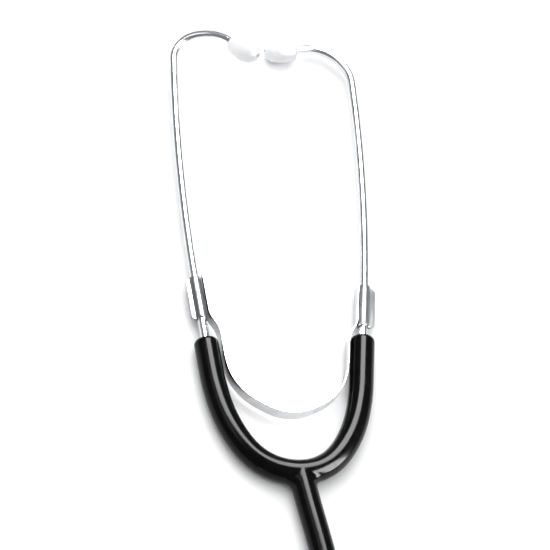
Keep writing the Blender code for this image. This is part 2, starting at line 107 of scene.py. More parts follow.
# Ear tubes and tips
EAR_TUBE_R = 2.45
EAR_TUBE_WALL = 0.5
EAR_TUBE_SIDES = 40
EAR_INSERTED = {"left": -12.0, "right": -6.0}
EAR_STRAIGHT = 20.4
EAR_LONG_ARC_R = {"left": 1121.0, "right": 954.0}
EAR_LONG_ARC = {"left": 153.4, "right": 146.9}
EAR_BEND_R = {"left": 14.2, "right": 22.9}
EAR_BEND = {"left": math.radians(86.9), "right": math.radians(78.1)}
EAR_END_BEND_R = {"left": 25.6, "right": 21.0}
EAR_END_BEND = {"left": math.radians(43.2), "right": math.radians(18.4)}
EAR_END_STRAIGHT = {"left": 4.0, "right": 6.2}
EAR_TILT = {"left": math.radians(18.1), "right": math.radians(-4.0)}
EAR_TWIST = {"left": math.radians(6.6), "right": math.radians(3.8)}
EAR_IN_TIP = 9.0
TIP_LENGTH = 18.5
TIP_SIDES = 64

# Leaf spring and clips
SPRING_WIDTH = 8.0
SPRING_THICK = 0.9
SPRING_ROUTE = [
    (43.5, -8.0),
    (42.5, -17.0),
    (41.5, -26.0),
    (40.8, -32.4),
    (39.1, -35.6),
    (36.9, -38.8),
    (35.4, -43.2),
    (34.7, -50.0),
    (33.9, -57.5),
    (32.6, -64.6),
    (30.2, -71.2),
    (26.0, -77.4),
    (20.9, -82.0),
    (15.0, -85.7),
    (8.0, -88.9),
    (0.0, -90.2),
]
CLIP_TOP = {"left": 29.6, "right": 31.2}
CLIP_LENGTH = 26.0
CLIP_BORE_R = 2.55
CLIP_WRAP_R = 3.25
CLIP_SIDES = 48
CLIP_ROWS = 9
CLIP_SCOOP = 1.6  # how far the wrap's lower edge is cut up on its flange side
CLIP_FLANGE = {"left": 5.2, "right": 6.1}
CLIP_FLANGE_THICK = 1.5
CLIP_CHAMFER = {"left": 1.6, "right": 2.4}

# Hose
HOSE_POINTS = 190
HOSE_ROUTE = [
    (9.6, -157.0, AXIS_Z + 0.05),
    (12.2, -171.0, AXIS_Z + 0.1),
    (14.6, -186.0, AXIS_Z + 0.1),
    (16.5, -205.0, AXIS_Z + 0.1),
    (17.4, -230.0, AXIS_Z + 0.1),
    (17.6, -255.0, AXIS_Z + 0.1),
    (17.6, -278.0, AXIS_Z + 0.1),
    (17.2, -302.0, AXIS_Z + 0.1),
    (10.3, -326.8, AXIS_Z + 0.1),
    (-9.3, -346.4, AXIS_Z + 0.1),
    (-36.0, -353.6, AXIS_Z + 0.1),
    (-62.7, -346.4, AXIS_Z + 0.2),
    (-82.2, -326.8, AXIS_Z + 1.0),
    (-89.3, -304.0, AXIS_Z + 3.6),
    (-89.5, -289.0, AXIS_Z + 6.2),
    (-89.5, -276.0, AXIS_Z + 7.0),
]

# Chestpiece
CHEST_CENTRE = Vector((-89.5, -231.0, 0.0))
STEM_AXIS_Z = 13.65
CHEST_STEM_R = 3.2
CHEST_SIDES = 96
SOUND_R = 1.3


# Shapes


def to_frame(point):
    return (Vector(point) + TO_ORIGIN) * MM


def mesh_piece(name, points, faces, material, slot_name, sharp=math.radians(38)):
    """A smooth piece from points in the part's layout, creased where its faces meet at a steep angle."""
    mesh = bpy.data.meshes.new(name)
    mesh.from_pydata([tuple(to_frame(point)) for point in points], [], faces)
    finish_mesh(mesh, sharp)
    piece = bpy.data.objects.new(name, mesh)
    bpy.context.collection.objects.link(piece)
    mesh.materials.append(material)
    return piece


def finish_mesh(mesh, sharp):
    shape = bmesh.new()
    shape.from_mesh(mesh)
    bmesh.ops.remove_doubles(shape, verts=shape.verts, dist=1e-7)
    bmesh.ops.recalc_face_normals(shape, faces=shape.faces)
    for face in shape.faces:
        face.smooth = True
    for edge in shape.edges:
        edge.smooth = len(edge.link_faces) < 2 or edge.calc_face_angle(0.0) < sharp
    shape.to_mesh(mesh)
    shape.free()


def frames_along(path):
    """(point, across, up) at each point of the path, carried along it without twisting."""
    path = [Vector(point) for point in path]
    tangents = []
    for index in range(len(path)):
        before = path[max(index - 1, 0)]
        after = path[min(index + 1, len(path) - 1)]
        tangents.append((after - before).normalized())
    up = Vector((0, 0, 1))
    if abs(tangents[0].dot(up)) > 0.9:
        up = Vector((1, 0, 0))
    frames = []
    for point, tangent in zip(path, tangents):
        up = (up - tangent * up.dot(tangent)).normalized()
        frames.append((point, tangent.cross(up).normalized(), up))
    return frames


def ring_faces(rows, sides, closed_rows=False):
    faces = []
    for row in range(rows if closed_rows else rows - 1):
        here = row * sides
        there = ((row + 1) % rows) * sides
        for side in range(sides):
            after = (side + 1) % sides
            faces.append((here + side, here + after, there + after, there + side))
    return faces


def circle(radius, sides):
    angles = [2 * math.pi * side / sides for side in range(sides)]
    return [(radius * math.cos(angle), radius * math.sin(angle)) for angle in angles]


def swept(path, section):
    """Points and faces of a capped sweep of a section of (across, up) offsets."""
    points = []
    for centre, across, up in frames_along(path):
        points += [centre + across * x + up * y for x, y in section]
    count = len(section)
    rows = len(path)
    faces = ring_faces(rows, count)
    faces.append(tuple(range(count)))
    faces.append(tuple(range((rows - 1) * count, rows * count)))
    return points, faces


def hollow_sweep(path, outer, inner, sides):
    """Points and faces of a tube, open at both ends, from its outer and inner radius."""
    frames = frames_along(path)
    points = []
    for centre, across, up in frames:
        points += [centre + across * x + up * y for x, y in circle(outer, sides)]
    for centre, across, up in reversed(frames):
        points += [centre + across * x + up * y for x, y in circle(inner, sides)]
    return points, ring_faces(2 * len(path), sides, closed_rows=True)


def lathe(profile, sides, centre, axis, closed=True):
    """A profile of (radius, distance along) turned about an axis."""
    aim = Vector(axis).to_track_quat("Z", "Y").to_matrix()
    points = []
    for radius, along in profile:
        points += [Vector(centre) + aim @ Vector((x, y, along)) for x, y in circle(radius, sides)]
    faces = ring_faces(len(profile), sides, closed_rows=closed)
    if not closed:
        faces.append(tuple(range(sides)))
        faces.append(tuple(range((len(profile) - 1) * sides, len(profile) * sides)))
    return points, faces


def rounded_profile(profile, radius, steps):
    """The closed profile with each corner cut back by up to `radius` and rounded."""
    count = len(profile)
    corners = [Vector(point) for point in profile]
    made = []
    for index, corner in enumerate(corners):
        before = corners[index - 1]
        after = corners[(index + 1) % count]
        back = min(radius, (before - corner).length * 0.45, (after - corner).length * 0.45)
        start = corner + (before - corner).normalized() * back
        end = corner + (after - corner).normalized() * back
        for step in range(steps + 1):
            t = step / steps
            made.append(tuple(start * (1 - t) ** 2 + corner * 2 * t * (1 - t) + end * t * t))
    return made


def smooth_path(route, steps):
    """A smooth curve through every point of the route, with `steps` points to each stretch."""
    route = [Vector(point) for point in route]
    padded = [2 * route[0] - route[1], *route, 2 * route[-1] - route[-2]]
    path = []
    for index in range(1, len(padded) - 2):
        p0, p1, p2, p3 = padded[index - 1 : index + 3]
        for step in range(steps):
            t = step / steps
            square = (2 * p0 - 5 * p1 + 4 * p2 - p3) * t * t
            cube = (3 * p1 - 3 * p2 + p3 - p0) * t * t * t
            path.append(0.5 * (2 * p1 + (p2 - p0) * t + square + cube))
    path.append(route[-1])
    return path


def even_path(path, count):
    """The path as `count` evenly spaced points."""
    lengths = [0.0]
    for before, after in zip(path, path[1:]):
        lengths.append(lengths[-1] + (after - before).length)
    spaced = []
    place = 0
    for index in range(count):
        wanted = lengths[-1] * index / (count - 1)
        while place < len(path) - 2 and lengths[place + 1] < wanted:
            place += 1
        share = (wanted - lengths[place]) / (lengths[place + 1] - lengths[place])
        spaced.append(path[place].lerp(path[place + 1], min(max(share, 0.0), 1.0)))
    return spaced


def relaxed(path, rounds):
    """The path with small kinks eased out, its ends kept."""
    for _ in range(rounds):
        inner = [(path[i - 1] + path[i] * 2 + path[i + 1]) / 4 for i in range(1, len(path) - 1)]
        path = [path[0], *inner, path[-1]]
    return path


def apply_boolean(piece, other, operation):
    modifier = piece.modifiers.new("cut", "BOOLEAN")
    modifier.operation = operation
    modifier.solver = "EXACT"
    modifier.object = other
    bake_modifiers(piece)
    bpy.data.objects.remove(other, do_unlink=True)


def bake_modifiers(piece):
    graph = bpy.context.evaluated_depsgraph_get()
    mesh = bpy.data.meshes.new_from_object(piece.evaluated_get(graph))
    piece.modifiers.clear()
    piece.data = mesh


# Materials


def new_material(name, roughness, metallic=0.0, specular=0.5):
    material = bpy.data.materials.new(name)
    material.use_nodes = True
    shader = material.node_tree.nodes["Principled BSDF"]
    shader.inputs["Metallic"].default_value = metallic
    shader.inputs["Roughness"].default_value = roughness
    shader.inputs["Specular IOR Level"].default_value = specular
    return material, shader


def noise(material, scale, detail=4.0, stretch=(1.0, 1.0, 1.0)):
    """A noise over the object's own coordinates; scale is in patches to a metre."""
    nodes = material.node_tree.nodes
    links = material.node_tree.links
    place = nodes.new("ShaderNodeTexCoord")
    mapping = nodes.new("ShaderNodeMapping")
    mapping.inputs["Scale"].default_value = stretch
    texture = nodes.new("ShaderNodeTexNoise")
    texture.inputs["Scale"].default_value = scale
    texture.inputs["Detail"].default_value = detail
    links.new(place.outputs["Object"], mapping.inputs["Vector"])
    links.new(mapping.outputs["Vector"], texture.inputs["Vector"])
    return texture.outputs["Fac"]


def vary_colour(material, shader, source, low, high):
    ramp = material.node_tree.nodes.new("ShaderNodeValToRGB")
    ramp.color_ramp.elements[0].position = 0.35
    ramp.color_ramp.elements[0].color = (*low, 1.0)
    ramp.color_ramp.elements[1].position = 0.65
    ramp.color_ramp.elements[1].color = (*high, 1.0)
    material.node_tree.links.new(source, ramp.inputs["Fac"])
    material.node_tree.links.new(ramp.outputs["Color"], shader.inputs["Base Color"])


def vary_roughness(material, shader, source, low, high):
    spread = material.node_tree.nodes.new("ShaderNodeMapRange")
    spread.inputs["From Min"].default_value = 0.3
    spread.inputs["From Max"].default_value = 0.7
    spread.inputs["To Min"].default_value = low
    spread.inputs["To Max"].default_value = high
    material.node_tree.links.new(source, spread.inputs["Value"])
    material.node_tree.links.new(spread.outputs["Result"], shader.inputs["Roughness"])


def add_bump(material, shader, source, distance):
    bump = material.node_tree.nodes.new("ShaderNodeBump")
    bump.inputs["Distance"].default_value = distance
    bump.inputs["Strength"].default_value = 1.0
    material.node_tree.links.new(source, bump.inputs["Height"])
    material.node_tree.links.new(bump.outputs["Normal"], shader.inputs["Normal"])


def tubing_material():
    """Glossy black moulded tubing with a faint flow mark and a trace of dust dulling it."""
    material, shader = new_material("glossy_black_tubing", 0.17, specular=0.14)
    vary_colour(material, shader, noise(material, 220.0), (0.0006, 0.0006, 0.0008), (0.002, 0.002, 0.0023))
    vary_roughness(material, shader, noise(material, 160.0, 6.0), 0.14, 0.2)
    add_bump(material, shader, noise(material, 420.0, 2.0), 0.000012)
    return material


def chrome_material(name, low, high, rough_low, rough_high, stretch):
    """Polished plating between two colours and two roughnesses, its grain stretched along the piece."""
    material, shader = new_material(name, rough_low, metallic=1.0)
    vary_colour(material, shader, noise(material, 90.0), low, high)
    vary_roughness(material, shader, noise(material, 900.0, 5.0, stretch), rough_low, rough_high)
    add_bump(material, shader, noise(material, 2400.0, 3.0, stretch), 0.0000004)
    return material


def tip_material():
    """Smooth white moulded plastic, a little translucent."""
    material, shader = new_material("white_tip_plastic", 0.34)
    vary_colour(material, shader, noise(material, 120.0), (0.76, 0.76, 0.77), (0.81, 0.805, 0.81))
    vary_roughness(material, shader, noise(material, 500.0), 0.28, 0.4)
    add_bump(material, shader, noise(material, 1500.0, 3.0), 0.000006)
    shader.inputs["Subsurface Weight"].default_value = 0.12
    shader.inputs["Subsurface Radius"].default_value = (0.003, 0.0025, 0.002)
    return material


def rim_material():
    """Satin black plastic and rubber of the chestpiece's rings."""
    material, shader = new_material("satin_black_rim", 0.4)
    vary_colour(material, shader, noise(material, 300.0), (0.012, 0.012, 0.013), (0.022, 0.022, 0.024))
    vary_roughness(material, shader, noise(material, 800.0), 0.34, 0.48)
    add_bump(material, shader, noise(material, 3500.0, 2.0), 0.00001)
    return material


def membrane_material():
    """Pale film with a fine woven-glass grain."""
    material, shader = new_material("diaphragm_film", 0.3)
    vary_colour(material, shader, noise(material, 260.0, 5.0), (0.70, 0.71, 0.70), (0.79, 0.79, 0.78))
    nodes = material.node_tree.nodes
    links = material.node_tree.links
    place = nodes.new("ShaderNodeTexCoord")
    heights = []
    for direction in ("X", "Y"):
        wave = nodes.new("ShaderNodeTexWave")
        wave.bands_direction = direction
        wave.inputs["Scale"].default_value = 340.0
        wave.inputs["Distortion"].default_value = 0.6
        links.new(place.outputs["Object"], wave.inputs["Vector"])
        heights.append(wave.outputs["Fac"])
    weave = nodes.new("ShaderNodeMath")
    weave.operation = "MAXIMUM"
    links.new(heights[0], weave.inputs[0])
    links.new(heights[1], weave.inputs[1])
    vary_roughness(material, shader, weave.outputs["Value"], 0.42, 0.26)
    add_bump(material, shader, weave.outputs["Value"], 0.00002)
    return material


def floor_material():
    material, shader = new_material("white_table", 0.6, specular=0.1)
    vary_colour(material, shader, noise(material, 12.0), (0.93, 0.93, 0.93), (0.94, 0.94, 0.94))
    return material


# Pieces


def axis_point(side, along):
    """A point on an ear tube's lower axis, `along` millimetres up from its foot."""
    x = FOOT.x + math.sin(LEAN) * along
    return Vector((SIDES[side] * x, FOOT.y + math.cos(LEAN) * along, AXIS_Z))


def tubing_centreline():
    """Centreline of the whole U, from the left mouth to the right one."""

    def arm(side):
        mouth = (MOUTH_Y[side] - FOOT.y) / math.cos(LEAN)
        straight = [axis_point(side, mouth), axis_point(side, -16.0), axis_point(side, -25.0)]
        bend = []
        for index, (x, y) in enumerate(ARM_ROUTE):
            share = (index + 1) / len(ARM_ROUTE)
            bend.append(Vector((SIDES[side] * x + CROTCH.x * share, y, AXIS_Z)))
        return straight + bend

    route = arm("left") + [CROTCH.copy()] + arm("right")[::-1]
    return relaxed(even_path(smooth_path(route, 12), CENTRELINE_POINTS), 12)


def nearest_index(path, point):
    return min(range(len(path)), key=lambda index: (path[index] - point).length)


def make_arm(side, material):
    """One arm, from its rounded mouth with the tube's socket to the junction's own piece."""
    path = tubing_centreline()
    bottom = nearest_index(path, CROTCH)
    step = (path[1] - path[0]).length
    reach = round(JUNCTION_HALF / step)
    path = path[: bottom - reach + 1] if side == "left" else path[bottom + reach :][::-1]
    inward = (path[1] - path[0]).normalized()
    mouth = path[0]
    rows = []
    for index in range(MOUTH_BORE_STEPS + 1):
        depth = MOUTH_BORE * (MOUTH_BORE_STEPS - index) / MOUTH_BORE_STEPS
        rows.append((mouth + inward * depth, MOUTH_BORE_R))
    for index in range(RIM_STEPS + 1):
        angle = math.pi / 2 * index / RIM_STEPS
        round_r = TUBING_R - RIM_ROUND + RIM_ROUND * math.sin(angle)
        depth = RIM_ROUND * (1 - math.cos(angle))
        rows.append((mouth + inward * depth, max(round_r, MOUTH_BORE_R + 0.2)))
    body = [point for point in path if (point - mouth).length > RIM_ROUND * 1.3]
    frames = frames_along([mouth, *body])
    across, up = frames[0][1], frames[0][2]
    points = []
    for centre, radius in rows:
        points += [centre + across * x + up * y for x, y in circle(radius, ARM_SIDES)]
    for centre, across, up in frames[1:]:
        points += [centre + across * x + up * y for x, y in circle(TUBING_R, ARM_SIDES)]
    count = len(points) // ARM_SIDES
    faces = ring_faces(count, ARM_SIDES)
    faces.append(tuple(range(ARM_SIDES)))
    faces.append(tuple(range((count - 1) * ARM_SIDES, count * ARM_SIDES)))
    arm = mesh_piece(f"tubing_arm_{side}", points, faces, material, "black_tubing")
    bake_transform(arm)


def network_distance(points, path, stem_end):
    """How far each point is outside the filleted Y of round tubing, in millimetres."""
    flat = points[:, None, :2]
    line = np.array([tuple(point)[:2] for point in path])
    stem_top = np.array(tuple(STEM_TOP)[:2])
    stem_bottom = np.array(tuple(stem_end)[:2])

    def to_lines(starts, ends):
        along = ends - starts
        offset = flat - starts[None]
        share = np.clip((offset * along).sum(2) / (along * along).sum(1), 0, 1)
        return np.sqrt(((offset - share[..., None] * along) ** 2).sum(2)).min(1)

    to_arms = to_lines(line[:-1], line[1:])
    to_stem = to_lines(stem_top[None], stem_bottom[None])
    below = (flat[:, 0] - stem_top) @ np.array(tuple(STEM_DIR)[:2])
    fillet = FILLET * np.clip(below / FILLET_RUN, 0.02, 1)
    share = np.clip(0.5 + 0.5 * (to_stem - to_arms) / fillet, 0, 1)
    flat_distance = to_stem * (1 - share) + to_arms * share - fillet * share * (1 - share)
    height = points[:, 2] - AXIS_Z
    return np.sqrt(np.maximum(flat_distance, 0.0) ** 2 + height**2) - TUBING_R


def make_junction(material):
    """The moulded Y where both arms run into the stem, filleted in the plane of the arms."""
    path = tubing_centreline()
    bottom = nearest_index(path, CROTCH)
    step = (path[1] - path[0]).length
    reach = round(JUNCTION_HALF / step)
    longer = path[bottom - reach - JUNCTION_SPARE : bottom + reach + JUNCTION_SPARE + 1]
    stem_end = STEM_TOP + STEM_DIR * (STEM_LENGTH + STEM_SPARE)
    ring = circle(TUBING_R, JUNCTION_SIDES)
    arms = mesh_piece("tubing_junction", *swept(longer[::2], ring), material, "black_tubing")
    stem_path = [STEM_TOP.lerp(stem_end, share / 8) for share in range(9)]
    stem = mesh_piece("stem", *swept(stem_path, ring), material, "black_tubing")
    apply_boolean(arms, stem, "UNION")
    remesh = arms.modifiers.new("even", "REMESH")
    remesh.mode = "VOXEL"
    remesh.voxel_size = JUNCTION_GRAIN * MM
    bake_modifiers(arms)

    shape = bmesh.new()
    shape.from_mesh(arms.data)
    bmesh.ops.smooth_vert(
        shape, verts=shape.verts, factor=0.5, use_axis_x=True, use_axis_y=True, use_axis_z=True
    )
    here = np.array([vertex.co for vertex in shape.verts]) / MM - np.array(TO_ORIGIN)
    for _ in range(SETTLE_ROUNDS):
        value = network_distance(here, longer, stem_end)
        slopes = []
        for axis in range(3):
            moved = here.copy()
            moved[:, axis] += SLOPE_STEP
            slopes.append((network_distance(moved, longer, stem_end) - value) / SLOPE_STEP)
        slope = np.stack(slopes, axis=1)
        size = np.maximum((slope**2).sum(1), 0.2)
        here -= slope * (np.clip(value, -1.5, 1.5) / size)[:, None]
    for vertex, place in zip(shape.verts, here):
        vertex.co = to_frame(place)

    ends = [
        (path[bottom - reach], path[bottom - reach] - path[bottom - reach + 1]),
        (path[bottom + reach], path[bottom + reach] - path[bottom + reach - 1]),
        (STEM_TOP + STEM_DIR * STEM_LENGTH, STEM_DIR),
    ]
    for point, outwards in ends:
        geometry = shape.verts[:] + shape.edges[:] + shape.faces[:]
        cut = bmesh.ops.bisect_plane(
            shape, geom=geometry, plane_co=to_frame(point), plane_no=outwards, clear_outer=True
        )
        rim = [item for item in cut["geom_cut"] if isinstance(item, bmesh.types.BMEdge)]
        bmesh.ops.holes_fill(shape, edges=rim, sides=0)
    shape.to_mesh(arms.data)
    shape.free()
    finish_mesh(arms.data, math.radians(50))
    arms.data.materials.clear()
    arms.data.materials.append(material)
    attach(arms, "tubing")
    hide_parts("y_tubing")


def ear_tube_centreline(side):
    """Local centreline of an ear tube: origin at the foot, +Y up the lower axis, bending inwards."""
    sign = SIDES[side]
    direction = Vector((0, 1, 0))
    point = Vector((0, EAR_INSERTED[side], 0))
    path = [(point.copy(), direction.copy())]
    point = Vector((0, EAR_STRAIGHT, 0))
    path.append((point.copy(), direction.copy()))

    def arc(radius, angle, axis, steps):
        nonlocal point, direction
        turn = angle / steps
        for _ in range(steps):
            half = Matrix.Rotation(turn / 2, 3, axis)
            point = point + (half @ direction) * (2 * radius * math.sin(turn / 2))
            direction = Matrix.Rotation(turn, 3, axis) @ direction
            path.append((point.copy(), direction.copy()))

    inward = Vector((0, 0, sign))
    arc(EAR_LONG_ARC_R[side], EAR_LONG_ARC[side] / EAR_LONG_ARC_R[side], inward, 24)
    tilted = Matrix.Rotation(sign * EAR_TILT[side], 3, direction) @ inward
    arc(EAR_BEND_R[side], EAR_BEND[side], tilted, 36)
    arc(EAR_END_BEND_R[side], EAR_END_BEND[side], tilted, 16)
    point = point + direction * EAR_END_STRAIGHT[side]
    path.append((point.copy(), direction.copy()))
    return path


def side_rotation(side):
    return Matrix.Rotation(-SIDES[side] * LEAN, 3, "Z")


def rest_rotation(side):
    return side_rotation(side) @ Matrix.Rotation(SIDES[side] * EAR_TWIST[side], 3, "Y")


def make_ear_tube(side, material):
    """A drawn chrome tube, hollow, with its end a few millimetres inside the tip."""
    foot = axis_point(side, 0)
    turn = rest_rotation(side)
    local = ear_tube_centreline(side)
    end, direction = local[-1]
    path = [foot + turn @ point for point, _ in local]
    path.append(foot + turn @ (end + direction * EAR_IN_TIP))
    points, faces = hollow_sweep(path, EAR_TUBE_R, EAR_TUBE_R - EAR_TUBE_WALL, EAR_TUBE_SIDES)
    tube = mesh_piece(f"ear_tube_chrome_{side}", points, faces, material, "chrome")
    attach(tube, f"{side}_ear_tube")
    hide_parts(f"ear_tube_{side}")


def make_ear_tip(side, material):
    """A smooth olive with a moulded collar at its mouth and a sound hole at its nose."""
    foot = axis_point(side, 0)
    turn = rest_rotation(side)
    end, direction = ear_tube_centreline(side)[-1]
    outside = [
        (5.35, 0.45),
        (6.05, 2.0),
        (6.6, 4.4),
        (6.95, 6.8),
        (7.05, 9.1),
        (6.85, 11.8),
        (6.1, 14.5),
        (4.8, 16.6),
        (3.2, 17.9),
        (2.1, 18.4),
    ]
    curve = [tuple(point) for point in smooth_path(outside, 5)]
    collar = [(2.7, 0.25), (3.0, 0.0), (4.5, 0.0)]
    sound_hole = [(1.3, TIP_LENGTH), (1.05, 18.1), (1.0, 10.2), (2.7, 9.8)]
    profile = [*collar, *curve, *sound_hole]
    points, faces = lathe(profile, TIP_SIDES, foot + turn @ end, turn @ direction)
    tip = mesh_piece(f"ear_tip_white_{side}", points, faces, material, "tip_plastic")
    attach(tip, f"{side}_ear_tube")
    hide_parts(f"ear_tip_{side}")


def make_spring(side, material):
    """Half of the chromed leaf spring."""
    sign = SIDES[side]
    route = [Vector((sign * x, y, AXIS_Z)) for x, y in SPRING_ROUTE]
    mirrored = [Vector((-sign * x, y, AXIS_Z)) for x, y in SPRING_ROUTE[::-1][1:4]]
    path = relaxed(even_path(smooth_path([*route, *mirrored], 10), 150), 10)
    bottom = min(point.y for point in path)
    path = [point for point in path if sign * point.x > 0.8]
    path += [Vector((sign * 0.3, bottom, AXIS_Z)), Vector((0.0, bottom, AXIS_Z))]
    half_thick = SPRING_THICK / 2
    half_wide = SPRING_WIDTH / 2
    outline = [
        (half_thick, half_wide),
        (-half_thick, half_wide),
        (-half_thick, -half_wide),
        (half_thick, -half_wide),
    ]
    section = rounded_profile(outline, 0.22, 3)
    points, faces = swept(path, section)
    spring = mesh_piece(f"spring_strip_{side}", points, faces, material, "spring_chrome")
    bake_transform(spring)
    return spring


def make_clip(side, material):
    """A folded clip: it wraps the ear tube and is pinched into a flange with cut corners."""
    sign = SIDES[side]
    half = CLIP_LENGTH / 2
    middle = CLIP_TOP[side] - half
    turn = side_rotation(side)
    foot = axis_point(side, 0)

    def local(points):
        return [foot + turn @ (Vector(point) + Vector((0, middle, 0))) for point in points]

    rows = []
    for step in range(CLIP_ROWS):
        along = -half + CLIP_LENGTH * step / (CLIP_ROWS - 1)
        rows.append([(x, along, z) for x, z in circle(CLIP_WRAP_R, CLIP_SIDES)])
    for column in range(CLIP_SIDES):
        angle = 2 * math.pi * column / CLIP_SIDES
        lift = CLIP_SCOOP * (0.5 + 0.5 * sign * math.cos(angle))
        x, _, z = rows[0][column]
        rows[0][column] = (x, -half + lift, z)
    points = local([point for row in rows for point in row])
    faces = ring_faces(CLIP_ROWS, CLIP_SIDES)
    faces.append(tuple(range(CLIP_SIDES)))
    faces.append(tuple(range((CLIP_ROWS - 1) * CLIP_SIDES, CLIP_ROWS * CLIP_SIDES)))
    clip = mesh_piece(f"spring_clip_chrome_{side}", points, faces, material, "spring_chrome")

    root = sign * (CLIP_BORE_R + 0.1)
    reach = sign * CLIP_FLANGE[side]
    chamfer = CLIP_CHAMFER[side]
    outline = [
        (root, -half + 0.8),
        (reach - sign * chamfer, -half + 0.3),
        (reach, -half + chamfer),
        (reach, half - chamfer),
        (reach - sign * chamfer, half - 0.3),
        (root, half - 0.3),
    ]
    outline = rounded_profile(outline, 0.6, 3)
    thick = CLIP_FLANGE_THICK / 2
    count = len(outline)
    plate = [(x, y, z) for z in (-thick, thick) for x, y in outline]
    plate_faces = [tuple(range(count)), tuple(range(count, 2 * count)), *ring_faces(2, count)]
    flange = mesh_piece("flange", local(plate), plate_faces, material, "spring_chrome")
    apply_boolean(clip, flange, "UNION")
    bore_path = local([(0, -half - 4, 0), (0, half + 4, 0)])
    bore = mesh_piece("bore", *swept(bore_path, circle(CLIP_BORE_R, CLIP_SIDES)), material, "spring_chrome")
    apply_boolean(clip, bore, "DIFFERENCE")
    bevel = clip.modifiers.new("soft_edges", "BEVEL")
    bevel.width = 0.16 * MM
    bevel.segments = 2
    bevel.limit_method = "ANGLE"
    bevel.angle_limit = math.radians(40)
    bake_modifiers(clip)
    finish_mesh(clip.data, math.radians(30))
    clip.data.materials.clear()
    clip.data.materials.append(material)
    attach(clip, f"{side}_side")
    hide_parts(f"spring_clip_{side}")


def make_hose(material):
    """The free hose, from the junction's stem to the chestpiece's."""
    start = STEM_TOP + STEM_DIR * STEM_LENGTH
    path = even_path(smooth_path([start, *HOSE_ROUTE], 12), HOSE_POINTS)
    curve = bpy.data.curves.new("hose_line", "CURVE")
    curve.dimensions = "3D"
    curve.bevel_depth = TUBING_R * MM
    curve.bevel_resolution = 12
    curve.use_fill_caps = True
    spline = curve.splines.new("POLY")
    spline.points.add(len(path) - 1)
    for point, place in zip(spline.points, path):
        point.co = (*to_frame(place), 1.0)
    spline.use_smooth = True
    curve.materials.append(material)
    hose = bpy.data.objects.new("hose_tubing", curve)
    bpy.context.collection.objects.link(hose)
    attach(hose, "tubing")
    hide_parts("hose")


def make_chest_head(material):
    """The cast head, turned as one profile of (radius, height): cup below, neck, bell above."""
    profile = [
        (SOUND_R, 4.4),
        (2.0, 4.4),
        (16.0, 2.8),
        (18.4, 1.9),
        (18.4, 1.5),
        (19.6, 1.5),
        (19.6, 4.6),
        (21.6, 4.9),
        (21.9, 5.6),
        (21.4, 6.9),
        (17.5, 8.2),
        (11.6, 8.9),
        (10.4, 10.0),
        (10.2, 13.7),
        (10.4, 16.9),
        (11.6, 18.0),
        (13.8, 19.4),
        (15.2, 21.8),
        (15.7, 25.2),
        (14.6, 25.2),
        (14.6, 24.1),
        (12.4, 21.4),
        (6.0, 19.2),
        (2.0, 18.4),
        (SOUND_R, 18.4),
    ]
    points, faces = lathe(rounded_profile(profile, 0.6, 3), CHEST_SIDES, CHEST_CENTRE, (0, 0, 1))
    head = mesh_piece("chest_head_chrome", points, faces, material, "chest_chrome")
    axis = CHEST_CENTRE + Vector((0, 0, STEM_AXIS_Z))
    bore_shape = [(CHEST_STEM_R + 0.05, 0.0), (CHEST_STEM_R + 0.05, 24.6)]
    points, faces = lathe(bore_shape, 48, axis - Vector((0, 20, 0)), (0, 1, 0), closed=False)
    bore = mesh_piece("stem_bore", points, faces, material, "chest_chrome")
    apply_boolean(head, bore, "DIFFERENCE")
    hole_shape = [(1.45, 0.0), (1.45, 12.0)]
    points, faces = lathe(hole_shape, 32, axis + Vector((3.6, -5.6, 0)), (1, 0, 0), closed=False)
    hole = mesh_piece("detent_hole", points, faces, material, "chest_chrome")
    apply_boolean(head, hole, "DIFFERENCE")
    finish_mesh(head.data, math.radians(38))
    head.data.materials.clear()
    head.data.materials.append(material)
    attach(head, "chestpiece")
    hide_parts("chest_head")


def make_chest_rims(rim, film):
    """The screwed rim with its grip grooves, the film it holds, and the soft ring round the bell."""
    grooves = []
    for step in range(5):
        height = 1.7 + 0.42 * step
        grooves += [(22.85, height), (22.6, height + 0.1), (22.6, height + 0.22), (22.85, height + 0.32)]
    profile = [
        (17.0, 0.0),
        (21.2, 0.0),
        (22.4, 0.5),
        (22.85, 1.4),
        *grooves,
        (22.5, 4.2),
        (19.95, 4.2),
        (19.95, 0.6),
        (17.0, 0.4),
    ]
    points, faces = lathe(rounded_profile(profile, 0.15, 2), CHEST_SIDES, CHEST_CENTRE, (0, 0, 1))
    ring = mesh_piece("diaphragm_rim_black", points, faces, rim, "rim_plastic", math.radians(50))
    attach(ring, "chestpiece")
    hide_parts("diaphragm_ring")
    dome = [(19.3, 0.86), (19.3, 1.2), (17.2, 1.22), (16.6, 1.16), (1.0, 1.1)]
    under = [(1.0, 0.8), (16.6, 0.82), (17.2, 0.88)]
    film_profile = rounded_profile([*under, *dome], 0.1, 2)
    points, faces = lathe(film_profile, CHEST_SIDES, CHEST_CENTRE, (0, 0, 1), closed=False)
    disc = mesh_piece("diaphragm_film_disc", points, faces, film, "membrane")
    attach(disc, "chestpiece")
    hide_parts("diaphragm")
    bell = [
        (14.3, 25.5),
        (13.6, 25.9),
        (14.2, 26.8),
        (15.6, 27.1),
        (16.9, 26.8),
        (17.5, 25.6),
        (17.4, 23.3),
        (16.0, 22.9),
        (16.0, 25.5),
    ]
    points, faces = lathe(rounded_profile(bell, 0.5, 4), CHEST_SIDES, CHEST_CENTRE, (0, 0, 1))
    soft = mesh_piece("bell_rim_black", points, faces, rim, "rim_plastic", math.radians(50))
    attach(soft, "chestpiece")
    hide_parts("bell_ring")


